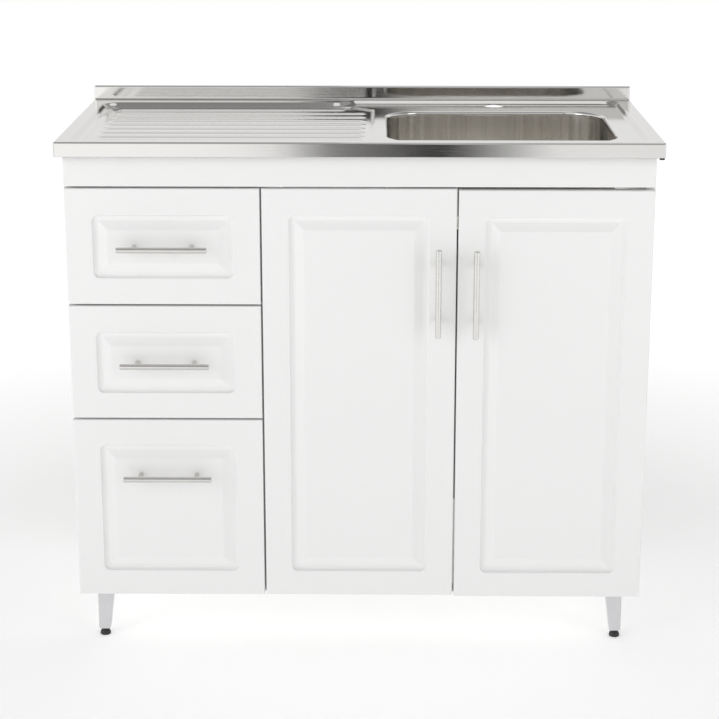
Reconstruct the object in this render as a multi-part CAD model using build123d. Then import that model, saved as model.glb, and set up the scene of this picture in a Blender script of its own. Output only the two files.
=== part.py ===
from build123d import *
import os
from math import atan2, degrees, tan

# Free-standing kitchen sink unit: a pressed steel sink top on a flat-pack cabinet with a column of
# three drawers at the left and two doors at the right. Millimetres, X to the right, the front faces -Y,
# Z up. The origin is on the floor, under the middle of the unit's whole footprint.

# Sink top, pressed from one sheet
deck_width = 1000.0
deck_depth = 500.0
worktop_height = 900.0
sheet = 1.0
lip_height = 25.0
lip_return = 8.0
lip_edge_radius = 3.0
deck_corner_radius = 4.0
upstand_height = 25.0
upstand_thickness = 12.0
upstand_return = 22.0

# Recess of the sink top: flat rims, then a slope down to the floor that drains into the bowl
rim_side = 22.0
rim_front = 25.0
rim_behind_drainer = 50.0
rim_behind_tap = 18.0
rim_step_x = -45.0
rim_step_run = 30.0
recess_depth = 6.0
recess_slope = 11.0
recess_corner_radius = 35.0
recess_front_radius = 20.0
rim_step_radius = 16.0

# Drainer pan with raised ribs, beside the bowl
pan_land = 4.0
pan_bowl_land = 15.0
pan_depth = 2.5
pan_slope = 4.0
pan_corner_radius = 18.0
pan_corner_cut = 38.0
rib_count = 9
rib_width = 18.0
rib_side_gap = 16.5
rib_slope = 4.5
rib_end_gap = 16.0
corner_rib_cut = 22.0

# Bowl, seam-welded to the turned-down collar of the sink top
bowl_width = 384.0
bowl_depth = 150.0
bowl_right_margin = 69.0
bowl_back_margin = 115.0
bowl_land = 4.0
bowl_corner_radius = 70.0
bowl_edge_radius = 5.0
bowl_floor_radius = 26.0
collar_depth = 8.0
waste_radius = 45.0
waste_seat_radius = 58.0
waste_seat_depth = 4.0
tap_hole_radius = 17.5
tap_offset_x = 5.0
tap_land = 3.5

# Carcass boards
board = 15.0
side_overhang = 10.0
carcass_back_gap = 10.0
leg_height = 100.0
seat_gap = 0.3
rear_rail_height = 100.0
rear_rail_drop = 10.2
hardboard = 3.0

# Fronts
front_setback = 20.0
front_thickness = 16.0
bumper_gap = 2.0
front_gap = 3.0
column_count = 3
rail_visible_height = 52.0
small_drawer_height = 197.0
front_edge_radius = 2.0
right_door_drop = 2.0

# Routed profile of the fronts
border = 45.0
route_depth = 5.5
route_flat = 4.0
route_bevel = 15.5
route_corner_radius = 10.0
cove_lip = 0.1

# Bar handles
handle_length = 150.0
handle_radius = 5.0
post_radius = 4.0
post_pitch = 96.0
bar_standoff = 27.0
drawer_handle_drop = 98.5
door_handle_drop = 97.0
door_handle_inset = 30.0

# Legs and feet
leg_top = 30.0
leg_bottom = 20.0
leg_side_inset = 25.0
leg_end_inset = 30.0
foot_height = 13.0
foot_radius = 9.5
foot_neck_radius = 6.0
foot_neck_height = 3.0
foot_edge_radius = 2.0

# Drawer boxes
drawer_board = 12.0
drawer_bottom_board = 3.0
bottom_groove_depth = 6.0
bottom_rise = 10.0
bottom_play = 0.2
box_rise = 30.0
small_box_height = 110.0
deep_box_height = 200.0
box_back_gap = 39.0

# Roller runners
runner_gap = 12.5
runner_setback = 2.0
runner_sheet = 1.2
channel_floor_width = 9.0
channel_roof_width = 5.0
flange_reach = 6.9
shelf_width = 10.0
roller_radius = 8.0
roller_width = 6.0
roller_offset = 2.2
roller_inset = 12.0
roller_pin_radius = 2.0
roller_pin_overrun = 0.5
rolling_gap = 0.2
turning_gap = 0.05

# Concealed hinges, measured from the door's hinge edge and from the carcass front
cup_radius = 17.5
cup_edge = 3.0
cup_bore_play = 0.1
cup_bore_depth = 13.0
cup_wall = 0.6
cup_flange = 0.8
cup_flange_rim = 1.5
cup_wing_width = 14.0
cup_wing_span = 54.0
pivot_u = 6.3
pivot_v = 12.3
pin_radius = 1.0
pin_length = 17.2
pin_play = 0.02
knuckle_radius = 1.8
arm_sheet = 2.0
arm_width = 9.0
arm_reach = 21.0
arm_crank_start = 8.0
arm_crank_end = 20.0
arm_tail = 60.0
plate_thickness = 6.0
plate_height = 48.0
plate_front = 18.0
hinge_end_distance = 100.0

# Black pad under the right front end of the lip
pad_length = 8.0
pad_width = 6.0
pad_thickness = 3.0
pad_inset = 2.0

# How close an edge lies to a place for it to be picked
near = 0.01

# Places worked out from the sizes above
handle_proud = bar_standoff + handle_radius - front_setback
deck_front = handle_proud - (deck_depth + handle_proud) / 2
deck_back = deck_front + deck_depth
deck_right = deck_width / 2
lip_bottom = worktop_height - lip_height
recess_floor = worktop_height - recess_depth
face_y = deck_front + front_setback
front_back_y = face_y + front_thickness
carcass_front = front_back_y + bumper_gap
carcass_back = deck_back - carcass_back_gap
carcass_top = recess_floor - pan_depth - sheet - seat_gap
carcass_right = deck_right - side_overhang
inner_right = carcass_right - board
rail_front = carcass_back - board
rear_rail_top = carcass_top - rear_rail_drop
rear_rail_bottom = rear_rail_top - rear_rail_height
runner_length = rail_front - box_back_gap - front_back_y
floor_top = leg_height + board
column_pitch = 2 * carcass_right / column_count
front_width = column_pitch - front_gap
fronts_right = carcass_right - front_gap / 2
fronts_top = lip_bottom - rail_visible_height - front_gap
column_edge = -carcass_right + column_pitch
divider_left = column_edge - board / 2
divider_right = column_edge + board / 2
box_left = -inner_right + runner_gap
box_right = divider_left - runner_gap
bowl_front = deck_front + rim_front + recess_slope + bowl_edge_radius + bowl_land
bowl_x = deck_right - bowl_right_margin - bowl_width / 2
bowl_length = deck_back - bowl_back_margin - bowl_front
bowl_y = bowl_front + bowl_length / 2
bowl_rim = recess_floor - collar_depth
bowl_floor = recess_floor - bowl_depth
tap_x = bowl_x + tap_offset_x
tap_y = deck_back - rim_behind_tap - recess_slope - tap_land - tap_hole_radius


def block(x0, x1, y0, y1, z0, z1):
    """Square block between two opposite corners."""
    middle = Pos((x0 + x1) / 2, (y0 + y1) / 2, (z0 + z1) / 2)
    return middle * Box(x1 - x0, y1 - y0, z1 - z0)


def rod(radius, start, end):
    """Round bar from one point to another."""
    run = Vector(end) - Vector(start)
    plane = Plane(origin=start, z_dir=run)
    return plane * Cylinder(radius, run.length, align=(Align.CENTER, Align.CENTER, Align.MIN))


def save(node, *solids):
    """One sub-part, written as the separate solids it is made of."""
    pieces = [piece for shape in solids for piece in shape.solids()]
    shape = pieces[0] if len(pieces) == 1 else Compound(pieces)
    export_step(shape, f"parts/{node}.step")


def sunk(outline, top, depth, slope):
    """Solid of a pressed hollow: the outline at its top, narrowing by the slope to its floor."""
    angle = degrees(atan2(slope, depth))
    face = Pos(0, 0, top) * outline
    return extrude(face, amount=depth, dir=(0, 0, -1), taper=angle)


def bend_shift(skin, slope, depth):
    """How far a bend line moves outwards on the sheet's other side."""
    return skin * tan(atan2(depth, slope) / 2)


# --- Sink top

def recess_outline(grow):
    """Top edge of the recess: narrower behind the drainer, wider behind the tap."""
    left = -deck_right + rim_side - grow
    right = deck_right - rim_side + grow
    front = deck_front + rim_front - grow
    back = deck_back - rim_behind_tap + grow
    drainer_back = deck_back - rim_behind_drainer + grow
    points = [
        (left, front),
        (right, front),
        (right, back),
        (rim_step_x + rim_step_run - grow, back),
        (rim_step_x - grow, drainer_back),
        (left, drainer_back),
    ]
    radii = [recess_front_radius] * 2 + [recess_corner_radius, rim_step_radius, rim_step_radius]
    radii.append(recess_corner_radius)
    return make_face(FilletPolyline(*points, radius=radii, close=True))


def pan_limits():
    """Left, right, front and back of the drainer pan on the recess floor."""
    left = -deck_right + rim_side + recess_slope + pan_land
    right = bowl_x - bowl_width / 2 - bowl_edge_radius - pan_bowl_land
    front = deck_front + rim_front + recess_slope + pan_land
    back = deck_back - rim_behind_drainer - recess_slope - pan_land
    return left, right, front, back


def pan_outline(grow):
    """Drainer pan, with its corner beside the tap cut off."""
    left, right, front, back = pan_limits()
    points = [
        (left - grow, front - grow),
        (right + grow, front - grow),
        (right + grow, back - pan_corner_cut),
        (right - pan_corner_cut, back + grow),
        (left - grow, back + grow),
    ]
    radii = [pan_corner_radius] * 5
    return make_face(FilletPolyline(*points, radius=radii, close=True))


def drainer_ribs(skin):
    """Raised ribs that point at the bowl; the last one stops short of the pan's cut corner."""
    left, right, front, back = pan_limits()
    shift = bend_shift(skin, rib_slope, pan_depth)
    start = left + rib_end_gap + shift
    end = right - rib_end_gap - shift
    width = rib_width - 2 * shift
    angle = degrees(atan2(rib_slope, pan_depth))
    first = front + rib_side_gap + rib_width / 2
    last = back - rib_side_gap - rib_width / 2
    ribs = []
    for i in range(rib_count):
        y = first + (last - first) * i / (rib_count - 1)
        stop = end - corner_rib_cut if i == rib_count - 1 else end
        place = Pos((start + stop) / 2, y, recess_floor - skin - pan_depth)
        outline = place * SlotOverall(stop - start, width)
        ribs.append(extrude(outline, amount=pan_depth, dir=(0, 0, 1), taper=angle))
    return ribs


def bowl_outline(grow):
    """Plan of the bowl's inner wall, grown outwards."""
    width = bowl_width + 2 * grow
    length = bowl_length + 2 * grow
    return Pos(bowl_x, bowl_y) * RectangleRounded(width, length, bowl_corner_radius + grow)


def deck_block(skin):
    """Everything that lies deeper than the skin below the sink top's upper surface."""
    front = deck_front + skin
    back = deck_back - skin
    top = worktop_height - skin
    bottom = lip_bottom - skin
    upstand_front = deck_back - upstand_thickness + skin
    upstand_top = worktop_height + upstand_height - skin
    side = make_face(Polyline(
        (front, bottom), (front, top), (upstand_front, top),
        (upstand_front, upstand_top), (back, upstand_top), (back, bottom), close=True))
    body = extrude(Plane.YZ * side, amount=deck_right - skin, both=True)
    corners = body.edges().filter_by(Axis.Z).filter_by(lambda e: e.length > lip_height / 2)
    outer = [e for e in corners if abs(e.center().Y - upstand_front) > near]
    body = fillet(outer, deck_corner_radius - skin)
    rim = [e for e in body.edges() if abs(e.center().Z - top) < near]
    root = [e for e in rim if abs(e.center().Y - upstand_front) < near]
    body = fillet([e for e in rim if e not in root], lip_edge_radius - skin)
    recess = recess_outline(bend_shift(skin, recess_slope, recess_depth))
    body -= sunk(recess, top, recess_depth, recess_slope)
    pan = pan_outline(bend_shift(skin, pan_slope, pan_depth))
    body -= sunk(pan, recess_floor - skin, pan_depth, pan_slope) - drainer_ribs(skin)
    height = recess_floor - bottom
    body -= Pos(0, 0, bottom) * extrude(bowl_outline(skin), amount=height, dir=(0, 0, 1))
    mouth = [e for e in body.edges() if abs(e.center().Z - (recess_floor - skin)) < near]
    half = bowl_width / 2 + skin + 1
    mouth = [e for e in mouth if abs(e.center().X - bowl_x) < half]
    mouth = [e for e in mouth if abs(e.center().Y - bowl_y) < bowl_length / 2 + skin + 1]
    return fillet(mouth, bowl_edge_radius - skin)


def sink_deck():
    """Pressed sheet with its lip, upstand, recess, drainer and collar."""
    deck = deck_block(0) - deck_block(sheet)
    below = bowl_rim - lip_bottom
    deck -= Pos(0, 0, lip_bottom) * extrude(bowl_outline(2 * sheet), amount=below, dir=(0, 0, 1))
    hem_right = deck_right - sheet
    hem_front = deck_front + sheet
    hem_back = deck_back - sheet
    hem_top = lip_bottom + sheet
    hem = block(-hem_right, hem_right, hem_front, hem_back, lip_bottom, hem_top)
    open_right = deck_right - lip_return
    open_front = deck_front + lip_return
    hem -= block(-open_right, open_right, open_front, hem_back, lip_bottom, hem_top)
    deck += hem & deck_block(0)
    open_right = deck_right - deck_corner_radius
    return_bottom = worktop_height + upstand_height - upstand_return
    deck -= block(-open_right, open_right, hem_back, deck_back, lip_bottom, return_bottom)
    return deck - rod(tap_hole_radius, (tap_x, tap_y, bowl_rim), (tap_x, tap_y, worktop_height))


def bowl_block(skin):
    """Inside of the bowl, grown outwards by the skin."""
    floor = bowl_floor - skin
    body = Pos(0, 0, floor) * extrude(bowl_outline(skin), amount=bowl_rim - floor, dir=(0, 0, 1))
    edges = [e for e in body.edges() if abs(e.center().Z - floor) < near]
    body = fillet(edges, bowl_floor_radius + skin)
    seat_bottom = floor - waste_seat_depth
    return body + rod(waste_seat_radius + skin, (bowl_x, bowl_y, seat_bottom), (bowl_x, bowl_y, floor + skin))


def sink_bowl():
    """Deep-drawn bowl with a sunk seat round the waste hole."""
    bowl = bowl_block(sheet) - bowl_block(0)
    below = bowl_floor - waste_seat_depth - 2 * sheet
    return bowl - rod(waste_radius, (bowl_x, bowl_y, below), (bowl_x, bowl_y, bowl_floor))


def lip_corner_pad():
    """Small black pad under the lip's right front end."""
    right = deck_right - pad_inset
    front = deck_front + pad_inset
    return block(right - pad_length, right, front, front + pad_width, lip_bottom - pad_thickness, lip_bottom)


# --- Carcass

def left_side_panel():
    return block(-carcass_right, -inner_right, carcass_front, carcass_back, leg_height, carcass_top)


def right_side_panel():
    return mirror(left_side_panel(), about=Plane.YZ)


def base_panel():
    return block(-inner_right, inner_right, carcass_front, rail_front, leg_height, floor_top)


def divider_panel():
    """Upright board between the drawers and the cupboard."""
    return block(divider_left, divider_right, carcass_front, rail_front, floor_top, carcass_top)


def rear_rail():
    """Board across the top of the back; the rest of the cupboard's back is open for the pipes."""
    return block(-inner_right, inner_right, rail_front, carcass_back, rear_rail_bottom, rear_rail_top)


def back_panel():
    """Hardboard behind the drawers, nailed to the rear edges of the base and the divider."""
    back = rail_front + hardboard
    return block(-inner_right, divider_right, rail_front, back, leg_height, rear_rail_bottom)


def front_rail():
    """Fixed rail between the fronts and the lip."""
    rail = block(-fronts_right, fronts_right, face_y, carcass_front, fronts_top + front_gap, carcass_top)
    return fillet(face_edges(rail), front_edge_radius)


def leg(x_sign, end_y, inwards):
    """Square leg that tapers on its two inner sides, standing at one corner of the base."""
    outer_x = x_sign * (carcass_right - leg_side_inset)
    outer_y = end_y + inwards * leg_end_inset
    faces = []
    for width, height in ((leg_bottom, foot_height), (leg_top, leg_height)):
        middle = Pos(outer_x - x_sign * width / 2, outer_y + inwards * width / 2, height)
        faces.append((middle * Rectangle(width, width)).face())
    return loft(faces, ruled=True)


def foot(x_sign, end_y, inwards):
    """Round-topped plastic glide on a short neck, pressed into the leg's end."""
    edge = foot_edge_radius
    neck = foot_neck_radius
    neck_bottom = foot_height - foot_neck_height
    dome_run = foot_radius - neck
    dome_rise = neck_bottom - edge
    dome_radius = (dome_run ** 2 + dome_rise ** 2) / (2 * dome_run)
    line = Line((0, 0), (foot_radius - edge, 0))
    line += RadiusArc((foot_radius - edge, 0), (foot_radius, edge), -edge)
    line += RadiusArc((foot_radius, edge), (neck, neck_bottom), -dome_radius)
    line += Polyline((neck, neck_bottom), (neck, foot_height), (0, foot_height), (0, 0))
    shape = revolve(Plane.XZ * make_face(line), axis=Axis.Z)
    x = x_sign * (carcass_right - leg_side_inset - leg_bottom / 2)
    return Pos(x, end_y + inwards * (leg_end_inset + leg_bottom / 2), 0) * shape


# --- Fronts and handles

def face_edges(panel):
    """Edges round the outer face of a front."""
    return [e for e in panel.edges() if abs(e.center().Y - face_y) < near]


def routed_front(x0, x1, z0, z1):
    """Board with a routed groove: a cove outside, a flat, and a bevel up to the middle field."""
    panel = block(x0, x1, face_y, front_back_y, z0, z1)
    panel = fillet(face_edges(panel), front_edge_radius)
    middle = Pos((x0 + x1) / 2, face_y, (z0 + z1) / 2) * Rot(90, 0, 0)
    width = x1 - x0 - 2 * border
    height = z1 - z0 - 2 * border
    pocket = extrude(middle * RectangleRounded(width, height, route_corner_radius), amount=-route_depth)
    floor = [e for e in pocket.edges() if abs(e.center().Y - face_y - route_depth) < near]
    pocket = fillet(floor, route_depth - cove_lip)
    inset = 2 * (route_depth + route_flat)
    foot_face = middle * Pos(0, 0, -route_depth) * Rectangle(width - inset, height - inset)
    inset += 2 * route_bevel
    top_face = middle * Rectangle(width - inset, height - inset)
    field = loft([foot_face.face(), top_face.face()], ruled=True)
    return panel - (pocket - field)


def bar_handle(x, z, along):
    """Round bar on two posts, standing off a front; returned as bar, post, post."""
    along = Vector(along)
    middle = Vector(x, face_y - bar_standoff, z)
    half = along * (handle_length / 2)
    bar = rod(handle_radius, middle - half, middle + half)
    posts = []
    for sign in (-1, 1):
        end = middle + along * (sign * post_pitch / 2)
        posts.append(rod(post_radius, end + Vector(0, bar_standoff, 0), end) - bar)
    return bar, *posts


def drawer_heights():
    """Bottom and top of each drawer's front, from the top drawer down."""
    first = fronts_top - small_drawer_height
    second = first - front_gap - small_drawer_height
    return [(first, fronts_top), (second, first - front_gap), (leg_height, second - front_gap)]


# --- Drawer boxes

def drawer_side(bottom, height):
    """Left side of a drawer box, grooved for its bottom board."""
    front = front_back_y
    back = front + runner_length
    inner = box_left + drawer_board
    groove_bottom = bottom + bottom_rise
    groove_top = groove_bottom + drawer_bottom_board + bottom_play
    side = block(box_left, inner, front, back, bottom, bottom + height)
    return side - block(inner - bottom_groove_depth, inner, front, back, groove_bottom, groove_top)


def drawer_back(bottom, height):
    """Back of a drawer box, standing on the bottom board between the sides."""
    left = box_left + drawer_board
    right = box_right - drawer_board
    back = front_back_y + runner_length
    low = bottom + bottom_rise + drawer_bottom_board
    return block(left, right, back - drawer_board, back, low, bottom + height)


def drawer_bottom(bottom):
    """Hardboard bottom that slides into the side grooves."""
    reach = drawer_board - bottom_groove_depth + bottom_play
    low = bottom + bottom_rise
    back = front_back_y + runner_length
    return block(box_left + reach, box_right - reach, front_back_y, back, low, low + drawer_bottom_board)


def across(shape):
    """The same piece on the other side of the drawer column."""
    middle = (box_left + box_right) / 2
    return mirror(shape, about=Plane(origin=(middle, 0, 0), z_dir=(1, 0, 0)))


# --- Roller runners

def runner_axis_z(bottom):
    """Height of the rollers' axes, level with the lower part of the drawer's side."""
    return bottom + roller_radius + rolling_gap


def roller(y, z):
    """Plastic roller on its pin, at the left side of the drawer column."""
    start = -inner_right + roller_offset
    wheel = rod(roller_radius, (start, y, z), (start + roller_width, y, z))
    return wheel - rod(roller_pin_radius + turning_gap, (start, y, z), (start + roller_width, y, z))


def cabinet_runner(bottom):
    """Channel screwed to the cabinet, with the pin of its front roller."""
    z = runner_axis_z(bottom)
    inner = roller_radius + rolling_gap
    outer = inner + runner_sheet
    wall = -inner_right
    front = carcass_front + runner_setback
    back = front + runner_length
    channel = block(wall, wall + runner_sheet, front, back, z - outer, z + outer)
    channel += block(wall, wall + channel_floor_width, front, back, z - outer, z - inner)
    channel += block(wall, wall + channel_roof_width, front, back, z + inner, z + outer)
    y = front_roller_y()
    pin_end = wall + roller_offset + roller_width + roller_pin_overrun
    return channel + rod(roller_pin_radius, (wall, y, z), (pin_end, y, z))


def drawer_runner(bottom):
    """Folded strip under the drawer's side, with the pin of its rear roller."""
    z = runner_axis_z(bottom)
    inner = roller_radius + rolling_gap
    face = box_left
    inner_face = face - runner_sheet
    front = carcass_front + runner_setback
    back = front_back_y + runner_length
    strip = block(inner_face, face, front, back, bottom - runner_sheet, z + inner + runner_sheet)
    strip += block(inner_face, face + shelf_width, front, back, bottom - runner_sheet, bottom)
    strip += block(face - flange_reach, face, front, back, z + inner, z + inner + runner_sheet)
    y = rear_roller_y()
    pin_end = -inner_right + roller_offset - roller_pin_overrun
    return strip + rod(roller_pin_radius, (pin_end, y, z), (face, y, z))


def front_roller_y():
    return carcass_front + runner_setback + roller_inset


def rear_roller_y():
    return front_back_y + runner_length - roller_inset


# --- Concealed hinges, drawn at the origin: x away from the hinge edge, -y out of the carcass

def hinge_cup():
    """Pressed cup with a screw flange, and holes in its wall for the pin."""
    middle_x = cup_edge + cup_radius
    mouth = -bumper_gap
    bottom = mouth - cup_bore_depth + cup_bore_play
    cup = rod(cup_radius, (middle_x, mouth, 0), (middle_x, bottom, 0))
    flange = rod(cup_radius + cup_flange_rim, (middle_x, mouth + cup_flange, 0), (middle_x, mouth, 0))
    wing = cup_wing_width / 2
    span = cup_wing_span / 2
    flange += block(middle_x - wing, middle_x + wing, mouth, mouth + cup_flange, -span, span)
    cup += flange
    inner = cup_radius - cup_wall
    cup -= rod(inner, (middle_x, mouth + cup_flange, 0), (middle_x, bottom + cup_wall, 0))
    hole = pin_radius + pin_play
    return cup - rod(hole, (pivot_u, -pivot_v, -cup_radius), (pivot_u, -pivot_v, cup_radius))


def hinge_pin():
    half = pin_length / 2
    return rod(pin_radius, (pivot_u, -pivot_v, -half), (pivot_u, -pivot_v, half))


def hinge_arm(panel_u):
    """Cranked arm from the pin, out of the cup's mouth and back along the panel."""
    tail_u = panel_u + plate_thickness + arm_sheet / 2
    route = Polyline(
        (pivot_u, -pivot_v), (arm_reach, -pivot_v), (arm_reach, arm_crank_start),
        (tail_u, arm_crank_end), (tail_u, arm_tail))
    half = arm_width / 2
    arm = Pos(0, 0, -half) * extrude(trace(route, arm_sheet), amount=arm_width, dir=(0, 0, 1))
    arm += rod(knuckle_radius, (pivot_u, -pivot_v, -half), (pivot_u, -pivot_v, half))
    return arm - rod(pin_radius + turning_gap, (pivot_u, -pivot_v, -half), (pivot_u, -pivot_v, half))


def hinge_plate(panel_u):
    """Plate screwed to the panel, which carries the arm."""
    half = plate_height / 2
    return block(panel_u, panel_u + plate_thickness, plate_front, arm_tail, -half, half)


def door_drop(hand):
    """The right door hangs a little lower than the left one."""
    return right_door_drop if hand < 0 else 0.0


def at_hinges(shape, edge_x, hand):
    """The shape at the lower and the upper hinge of a door; hand is 1 for hinges at the left."""
    turned = shape if hand > 0 else mirror(shape, about=Plane.YZ)
    drop = door_drop(hand)
    heights = (leg_height + hinge_end_distance - drop, fronts_top - hinge_end_distance - drop)
    return [Pos(edge_x, carcass_front, z) * turned for z in heights]


def door_panel(edge_x, hand):
    """Routed front with the bores for the hinge cups in its back."""
    x0, x1 = sorted((edge_x, edge_x + hand * front_width))
    drop = door_drop(hand)
    panel = routed_front(x0, x1, leg_height - drop, fronts_top - drop)
    middle_x = cup_edge + cup_radius
    mouth = -bumper_gap
    bore = rod(cup_radius + cup_bore_play, (middle_x, mouth, 0), (middle_x, mouth - cup_bore_depth, 0))
    for cut in at_hinges(bore, edge_x, hand):
        panel -= cut
    return panel


# --- Build

os.makedirs("parts", exist_ok=True)

save("sink_deck", sink_deck())
save("sink_bowl", sink_bowl())
save("lip_corner_pad", lip_corner_pad())
save("left_side_panel", left_side_panel())
save("right_side_panel", right_side_panel())
save("base_panel", base_panel())
save("divider_panel", divider_panel())
save("rear_rail", rear_rail())
save("back_panel", back_panel())
save("front_rail", front_rail())

for end, end_y, inwards in (("front", carcass_front, 1), ("rear", carcass_back, -1)):
    for hand_name, x_sign in (("left", -1), ("right", 1)):
        save(f"{end}_{hand_name}_leg", leg(x_sign, end_y, inwards))
        save(f"{end}_{hand_name}_foot", foot(x_sign, end_y, inwards))

drawers_right = -fronts_right + front_width
column_x = -carcass_right + column_pitch / 2
for name, (low, high) in zip(("top", "middle", "bottom"), drawer_heights()):
    height = small_box_height if high - low <= small_drawer_height else deep_box_height
    box_bottom = low + box_rise
    axis_z = runner_axis_z(box_bottom)
    left_side = drawer_side(box_bottom, height)
    save(f"{name}_drawer_front", routed_front(-fronts_right, drawers_right, low, high))
    save(f"{name}_drawer_left_side", left_side)
    save(f"{name}_drawer_right_side", across(left_side))
    save(f"{name}_drawer_back", drawer_back(box_bottom, height))
    save(f"{name}_drawer_bottom", drawer_bottom(box_bottom))
    save(f"{name}_drawer_handle", *bar_handle(column_x, high - drawer_handle_drop, (1, 0, 0)))
    strip = drawer_runner(box_bottom)
    save(f"{name}_drawer_runners", strip, across(strip))
    channel = cabinet_runner(box_bottom)
    save(f"{name}_cabinet_runners", channel, across(channel))
    rear_wheel = roller(rear_roller_y(), axis_z)
    save(f"{name}_rear_rollers", rear_wheel, across(rear_wheel))
    front_wheel = roller(front_roller_y(), axis_z)
    save(f"{name}_front_rollers", front_wheel, across(front_wheel))

left_edge = -fronts_right + column_pitch
doors = (
    ("left", left_edge, 1, divider_right - left_edge),
    ("right", fronts_right, -1, fronts_right - inner_right),
)
for name, edge_x, hand, panel_u in doors:
    handle_x = edge_x + hand * (front_width - door_handle_inset)
    handle_z = fronts_top - door_drop(hand) - door_handle_drop - handle_length / 2
    save(f"{name}_door_panel", door_panel(edge_x, hand))
    save(f"{name}_door_handle", *bar_handle(handle_x, handle_z, (0, 0, 1)))
    save(f"{name}_door_hinge_cups", *at_hinges(hinge_cup(), edge_x, hand))
    save(f"{name}_door_hinge_pins", *at_hinges(hinge_pin(), edge_x, hand))
    arms = at_hinges(hinge_arm(panel_u), edge_x, hand)
    plates = at_hinges(hinge_plate(panel_u), edge_x, hand)
    save(f"{name}_door_hinge_arms", *arms, *plates)
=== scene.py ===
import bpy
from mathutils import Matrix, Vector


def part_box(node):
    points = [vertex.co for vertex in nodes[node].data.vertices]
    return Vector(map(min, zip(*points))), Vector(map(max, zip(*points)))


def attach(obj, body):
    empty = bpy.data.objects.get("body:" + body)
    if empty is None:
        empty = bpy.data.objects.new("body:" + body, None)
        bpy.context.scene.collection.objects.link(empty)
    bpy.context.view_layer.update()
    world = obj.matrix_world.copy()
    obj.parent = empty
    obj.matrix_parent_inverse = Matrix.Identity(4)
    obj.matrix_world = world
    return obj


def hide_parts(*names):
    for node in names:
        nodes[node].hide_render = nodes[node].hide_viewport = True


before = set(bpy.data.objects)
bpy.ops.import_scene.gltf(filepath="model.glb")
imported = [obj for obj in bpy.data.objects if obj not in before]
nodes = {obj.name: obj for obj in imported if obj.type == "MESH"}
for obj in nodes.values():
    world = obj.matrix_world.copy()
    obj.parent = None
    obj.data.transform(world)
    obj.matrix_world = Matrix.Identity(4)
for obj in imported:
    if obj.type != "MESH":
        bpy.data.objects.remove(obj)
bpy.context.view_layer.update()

from math import atan2, cos, hypot, pi, radians, sin

import bmesh
import bpy
from mathutils import Vector
from mathutils.geometry import delaunay_2d_cdt

scene = bpy.context.scene

# --- Camera ------------------------------------------------------------------------------------
# Stands in front of the middle of the unit, a little above eye height for a worktop, and looks
# down on the sink top, as the photograph does.
camera_data = bpy.data.cameras.new("photo_camera")
camera_data.sensor_width = 36
camera_data.lens = 97.24
camera = bpy.data.objects.new("photo_camera", camera_data)
camera.location = (0.0336, -3.3779, 1.4229)
camera.rotation_euler = (radians(90 - 15.84), 0, radians(0.6))
scene.collection.objects.link(camera)
scene.camera = camera
scene.view_settings.view_transform = "Standard"

# --- Studio ------------------------------------------------------------------------------------
# Wide white floor that glows a little, like an underlit table, with soft boxes at both sides and
# above. The steel mirrors two dark flags and a bright card in front, which the camera doesn't see,
# and a dark sheet of painted shade, darker towards the top, stands behind the unit's open back.


def dial(node, values):
    """Sets the values of a node's inputs by their names."""
    for name, value in values.items():
        node.inputs[name].default_value = value


floor_paper = bpy.data.materials.new("studio_floor")
floor_paper.use_nodes = True
floor_tree = floor_paper.node_tree
floor_shader = floor_tree.nodes["Principled BSDF"]
dial(floor_shader, {
    "Base Color": (0.94, 0.94, 0.94, 1), "Roughness": 0.9, "Specular IOR Level": 0.1, "Emission Strength": 1.0})
floor_place = floor_tree.nodes.new("ShaderNodeTexCoord")
floor_reach = floor_tree.nodes.new("ShaderNodeVectorMath")
floor_reach.operation = "LENGTH"
floor_glow = floor_tree.nodes.new("ShaderNodeMapRange")
dial(floor_glow, {"From Min": 0.9, "From Max": 2.4, "To Min": 0.32, "To Max": 0.62})
floor_tree.links.new(floor_place.outputs["Object"], floor_reach.inputs[0])
floor_tree.links.new(floor_reach.outputs["Value"], floor_glow.inputs["Value"])
floor_tree.links.new(floor_glow.outputs["Result"], floor_shader.inputs["Emission Color"])
floor_grain = floor_tree.nodes.new("ShaderNodeTexNoise")
dial(floor_grain, {"Scale": 350})
floor_bump = floor_tree.nodes.new("ShaderNodeBump")
dial(floor_bump, {"Strength": 0.05, "Distance": 0.001})
floor_tree.links.new(floor_grain.outputs["Fac"], floor_bump.inputs["Height"])
floor_tree.links.new(floor_bump.outputs["Normal"], floor_shader.inputs["Normal"])


def stage_sheet(name, material, corners):
    """Flat sheet of the studio, from the corners of its outline."""
    sheet = bpy.data.meshes.new(name)
    sheet.from_pydata(corners, [], [range(len(corners))])
    sheet.materials.append(material)
    piece = bpy.data.objects.new(name, sheet)
    scene.collection.objects.link(piece)
    return piece


stage_sheet("studio_floor", floor_paper, [(-9, -9, 0), (9, -9, 0), (9, 9, 0), (-9, 9, 0)])


def stage_cloth(name, grey, glow=0.0):
    """Matt cloth of one grey that may glow, with its shader, its place and a range to grade it by."""
    cloth = bpy.data.materials.new(name)
    cloth.use_nodes = True
    shader = cloth.node_tree.nodes["Principled BSDF"]
    dial(shader, {
        "Base Color": (grey, grey, grey, 1), "Roughness": 1.0, "Specular IOR Level": 0.0,
        "Emission Color": (glow, glow, glow, 1), "Emission Strength": 1.0})
    place = cloth.node_tree.nodes.new("ShaderNodeTexCoord")
    parts = cloth.node_tree.nodes.new("ShaderNodeSeparateXYZ")
    span = cloth.node_tree.nodes.new("ShaderNodeMapRange")
    cloth.node_tree.links.new(place.outputs["Object"], parts.inputs["Vector"])
    return cloth, shader, parts, span


def grade(ramp, stops):
    """Grey levels at places from 0 to 1 along a colour ramp."""
    for place, level in stops[1:-1]:
        ramp.elements.new(place).color = (level, level, level, 1)
    for stop, (_, level) in ((ramp.elements[0], stops[0]), (ramp.elements[-1], stops[-1])):
        stop.color = (level, level, level, 1)


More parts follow.
